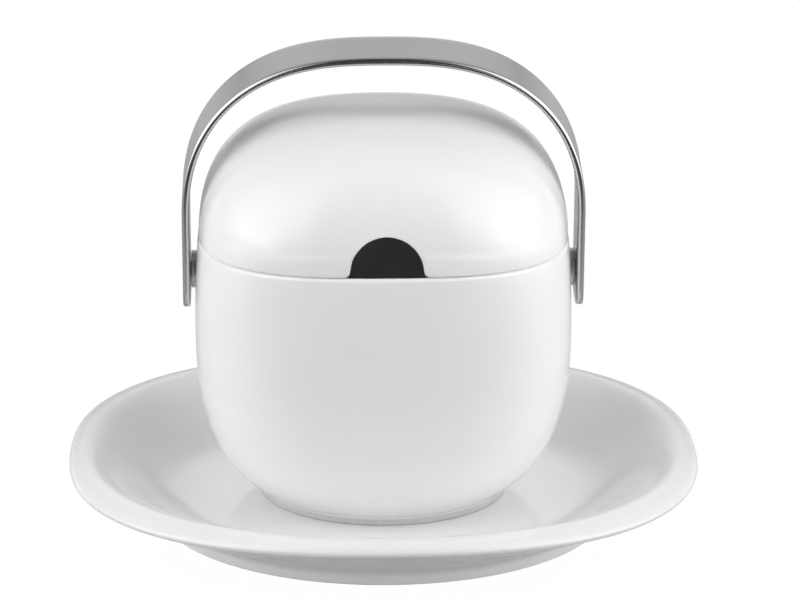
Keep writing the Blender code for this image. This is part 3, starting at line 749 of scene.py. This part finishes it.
# --------------------------------------------------------------------- stage
def floor_material():
    """Pale paper sweep: grey to the object, near white with a faint shadow to the eye."""
    m = Nodes("floor_paper")
    coord = m.add("ShaderNodeTexCoord").outputs["Object"]
    tooth = m.add("ShaderNodeTexNoise", inputs={"Vector": coord, "Scale": 700.0, "Detail": 2.0}).outputs["Fac"]
    # it runs out into the dark on the camera's side
    across, depth, _ = m.add("ShaderNodeSeparateXYZ", inputs={"Vector": coord}).outputs
    near = m.add("ShaderNodeMapRange", interpolation_type="SMOOTHSTEP", inputs={"Value": depth, "From Min": -0.19, "From Max": -0.105, "To Min": 0.05, "To Max": 1.0}).outputs[0]
    # and it is lit from below towards the side panels
    aside = m.add("ShaderNodeMapRange", interpolation_type="SMOOTHSTEP", inputs={"Value": m.math("ABSOLUTE", across, 0.0), "From Min": 0.3, "From Max": 1.0, "To Min": 0.0, "To Max": 2.0}).outputs[0]
    aside = m.math("MULTIPLY", aside, m.add("ShaderNodeMapRange", interpolation_type="SMOOTHSTEP", inputs={"Value": depth, "From Min": -0.1, "From Max": 0.5, "To Min": 1.0, "To Max": 0.0}).outputs[0])
    aside = m.math("MULTIPLY", aside, m.add("ShaderNodeMapRange", inputs={"Value": across, "From Min": -0.3, "From Max": 0.3, "To Min": 0.85, "To Max": 1.35}).outputs[0])
    # and a little at the back
    far = m.add("ShaderNodeMapRange", interpolation_type="SMOOTHSTEP", inputs={"Value": depth, "From Min": 0.4, "From Max": 1.2, "To Min": 0.0, "To Max": 0.12}).outputs[0]
    grey = m.ramp(tooth, ((0.3, 0.42), (0.7, 0.44))).outputs["Color"]
    m.link(m.mix(near, (0.0, 0.0, 0.0, 1.0), grey), m.bsdf.inputs["Base Color"])
    m.bsdf.inputs["Roughness"].default_value = 0.9
    m.bsdf.inputs["Specular IOR Level"].default_value = 0.1
    m.bsdf.inputs["Emission Color"].default_value = (1.0, 1.0, 1.0, 1.0)
    m.link(m.math("ADD", m.math("MULTIPLY", near, 0.07), m.math("ADD", aside, far)), m.bsdf.inputs["Emission Strength"])
    lit = m.add("ShaderNodeEmission", inputs={"Strength": 0.97})
    eye = m.add("ShaderNodeLightPath").outputs["Is Camera Ray"]
    over = m.add("ShaderNodeAddShader", inputs={0: m.add("ShaderNodeMixShader", inputs={0: 0.92, 1: m.bsdf.outputs[0]}).outputs[0], 1: lit.outputs[0]})
    both = m.add("ShaderNodeMixShader", inputs={0: eye, 1: m.bsdf.outputs[0], 2: over.outputs[0]})
    m.link(both.outputs[0], m.tree.nodes["Material Output"].inputs["Surface"])
    return m.mat


floor_mesh = bpy.data.meshes.new("floor")
floor_mesh.from_pydata([(-30, -30, 0), (30, -30, 0), (30, 30, 0), (-30, 30, 0)], [], [(0, 1, 2, 3)])
floor_mesh.materials.append(floor_material())
floor = bpy.data.objects.new("floor", floor_mesh)
floor.location.z = -0.0002
bpy.context.scene.collection.objects.link(floor)

# ----------------------------------------------------------- light and camera
TARGET = Vector((0.0, 0.0, 0.070))


def studio_world():
    """Light tent: tall bright panels left and right, two high front panels, a dim back
    with a lighter band and lighter corners.

    Azimuth runs from 0 at the camera's side to 180 behind the object.  Each
    zone has its own brightness curve from the horizon (0) to overhead (1).
    """
    world = bpy.data.worlds.new("light_tent")
    world.use_nodes = True
    tree = world.node_tree
    back = tree.nodes["Background"]
    back.inputs["Color"].default_value = (1.0, 1.0, 1.0, 1.0)

    def add(kind, **inputs):
        node = tree.nodes.new(kind)
        for k, v in inputs.items():
            k = int(k[1:]) if k[0] == "i" and k[1:].isdigit() else k
            if isinstance(v, bpy.types.NodeSocket):
                tree.links.new(v, node.inputs[k])
            else:
                node.inputs[k].default_value = v
        return node

    def calc(op, a, b=0.0):
        node = add("ShaderNodeMath", i0=a, i1=b)
        node.operation = op
        return node.outputs[0]

    def step(value, lo, hi, y0=0.0, y1=1.0):
        node = add("ShaderNodeMapRange", i0=value, i1=lo, i2=hi, i3=y0, i4=y1)
        node.interpolation_type = "SMOOTHSTEP"
        return node.outputs[0]

    def curve(value, peak, stops):
        node = add("ShaderNodeValToRGB", i0=value)
        node.color_ramp.interpolation = "EASE"
        els = node.color_ramp.elements
        while len(els) < len(stops):
            els.new(0.5)
        for el, (deg, v) in zip(els, stops):
            el.position = deg / 90.0
            el.color = (v / peak, v / peak, v / peak, 1.0)
        return calc("MULTIPLY", node.outputs["Color"], peak)

    x, y, z = add("ShaderNodeSeparateXYZ", i0=add("ShaderNodeTexCoord").outputs["Generated"]).outputs
    azimuth = calc("ABSOLUTE", calc("MULTIPLY", calc("ARCTAN2", x, calc("MULTIPLY", y, -1.0)), 180.0 / math.pi))
    height = calc("DIVIDE", calc("ARCSINE", z), 0.5 * math.pi)
    sides = calc("MULTIPLY", step(azimuth, 40.0, 64.0), step(azimuth, 74.0, 130.0, 1.0, 0.0))
    # the right panel is a little stronger
    sides = calc("MULTIPLY", sides, step(x, -0.3, 0.3, 0.99, 1.04))
    behind = step(azimuth, 100.0, 150.0)
    corner = calc("MULTIPLY", step(azimuth, 122.0, 138.0), step(azimuth, 148.0, 174.0, 1.0, 0.0))
    band = step(azimuth, 158.0, 176.0)
    front = calc("MULTIPLY", step(azimuth, 21.0, 38.0), step(azimuth, 42.0, 66.0, 1.0, 0.0))
    total = calc("MULTIPLY", sides, curve(height, 6.0, ((0, 2.5), (6, 4.05), (14, 4.1), (24, 3.3), (36, 2.6), (60, 1.12), (90, 0.0))))
    for zone, stops in (
        (behind, ((0, 0.32), (12, 0.38), (18, 0.66), (30, 0.58), (42, 0.54), (60, 0.22), (90, 0.0))),
        (corner, ((0, 0.48), (10, 0.34), (16, 0.0), (90, 0.0))),
        (band, ((0, 0.0), (12, 0.0), (17, 0.34), (24, 0.3), (32, 0.0), (90, 0.0))),
        (front, ((0, 0.55), (18, 2.1), (36, 2.15), (60, 0.85), (90, 0.0))),
    ):
        total = calc("ADD", total, calc("MULTIPLY", zone, curve(height, 3.0, stops)))
    # to the eye the backdrop is plain white
    eye = add("ShaderNodeLightPath").outputs["Is Camera Ray"]
    tree.links.new(add("ShaderNodeMix", i0=eye, i2=total, i3=1.0).outputs[0], back.inputs["Strength"])
    return world


bpy.context.scene.world = studio_world()

scene = bpy.context.scene
scene.view_settings.view_transform = "Standard"
scene.view_settings.look = "None"
# a little veiling glare from all the white around the object
scene.view_settings.use_curve_mapping = True
scene.view_settings.curve_mapping.black_level = (-0.017, -0.017, -0.017)
scene.view_settings.curve_mapping.update()

DISTANCE, ELEVATION, YAW, FOCAL_PX = 1.25, math.radians(16.1), math.radians(1.3), 4148.0
cam_data = bpy.data.cameras.new("camera")
cam_data.sensor_width = 36.0
cam_data.lens = FOCAL_PX / IMAGE_W * cam_data.sensor_width
cam_data.shift_x = (0.5 * IMAGE_W - 382.9) / IMAGE_W
cam_data.shift_y = -(0.5 * IMAGE_H - 288.9) / IMAGE_W
cam_data.clip_start, cam_data.clip_end = 0.01, 100.0
cam = bpy.data.objects.new("camera", cam_data)
back = Vector((-math.cos(ELEVATION) * math.sin(YAW), -math.cos(ELEVATION) * math.cos(YAW), math.sin(ELEVATION)))
cam.location = TARGET + back * DISTANCE
cam.rotation_mode = "QUATERNION"
cam.rotation_quaternion = back.to_track_quat("Z", "Y")
scene.collection.objects.link(cam)
scene.camera = cam
